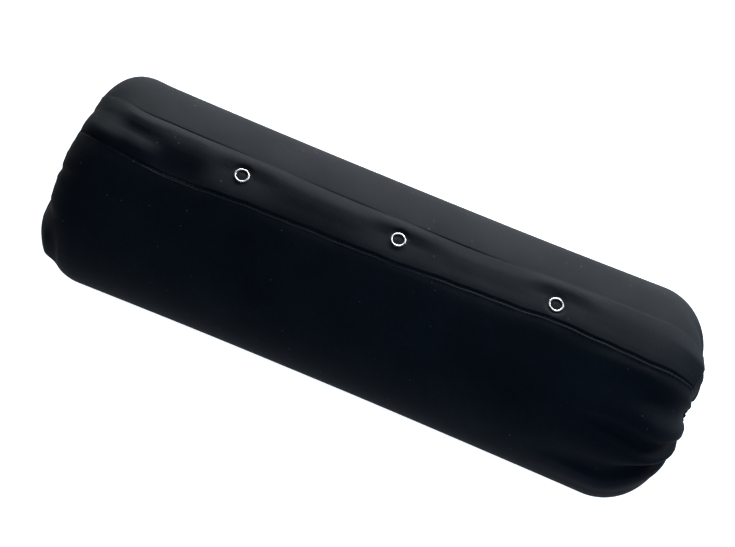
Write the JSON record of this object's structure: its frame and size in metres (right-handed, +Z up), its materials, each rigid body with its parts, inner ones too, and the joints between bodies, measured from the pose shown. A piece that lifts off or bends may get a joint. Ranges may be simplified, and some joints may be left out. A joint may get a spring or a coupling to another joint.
{
  "type": "bolster pillow",
  "caption": "Firm round bolster: a foam roll in a black stretch cover with gathered ends and a snapped placket flap along its length.",
  "frame": {"origin": "on the resting face, below the middle of the roll", "axes": "+X along the roll, -Y towards the side that the flap's free edge lies on, +Z up"},
  "size_m": [0.47, 0.153, 0.1525],
  "materials": {
    "cover_cloth": "black matte stretch knit",
    "thread": "black polyester thread",
    "underlap_tape": "black woven tape",
    "elastic": "covered elastic",
    "liner": "dark plain liner cloth",
    "foam": "open-cell foam",
    "snap_ring": "bright nickel plate",
    "snap_inner": "satin nickel plate"
  },
  "bodies": {
    "cover": {"foam_core": "foam", "foam_wrap": "foam", "liner_tube": "liner", "cover_panel": "cover_cloth", "placket_underlap": "underlap_tape", "flap_topstitch": "thread", "underlap_topstitch": "thread", "liner_end_left": "liner", "liner_seam_left": "thread", "end_channel_left": "cover_cloth", "end_elastic_left": "elastic", "channel_stitch_left": "thread", "liner_end_right": "liner", "liner_seam_right": "thread", "end_channel_right": "cover_cloth", "end_elastic_right": "elastic", "channel_stitch_right": "thread", "snap_stud_left": "snap_inner", "snap_back_ring_left": "snap_ring", "snap_stud_centre": "snap_inner", "snap_back_ring_centre": "snap_ring", "snap_stud_right": "snap_inner", "snap_back_ring_right": "snap_ring"},
    "flap": {"placket_flap": "cover_cloth", "snap_cap_ring_left": "snap_ring", "snap_cap_ring_centre": "snap_ring", "snap_cap_ring_right": "snap_ring", "snap_socket_left": "snap_inner", "snap_socket_centre": "snap_inner", "snap_socket_right": "snap_inner"}
  },
  "joints": [
    {"name": "flap_hinge", "type": "hinge", "parent": "cover", "child": "flap", "pos_m": [0, -0.01451, 0.15262], "axis": [-1, 0, 0], "range_deg": [0, 170]}
  ]
}
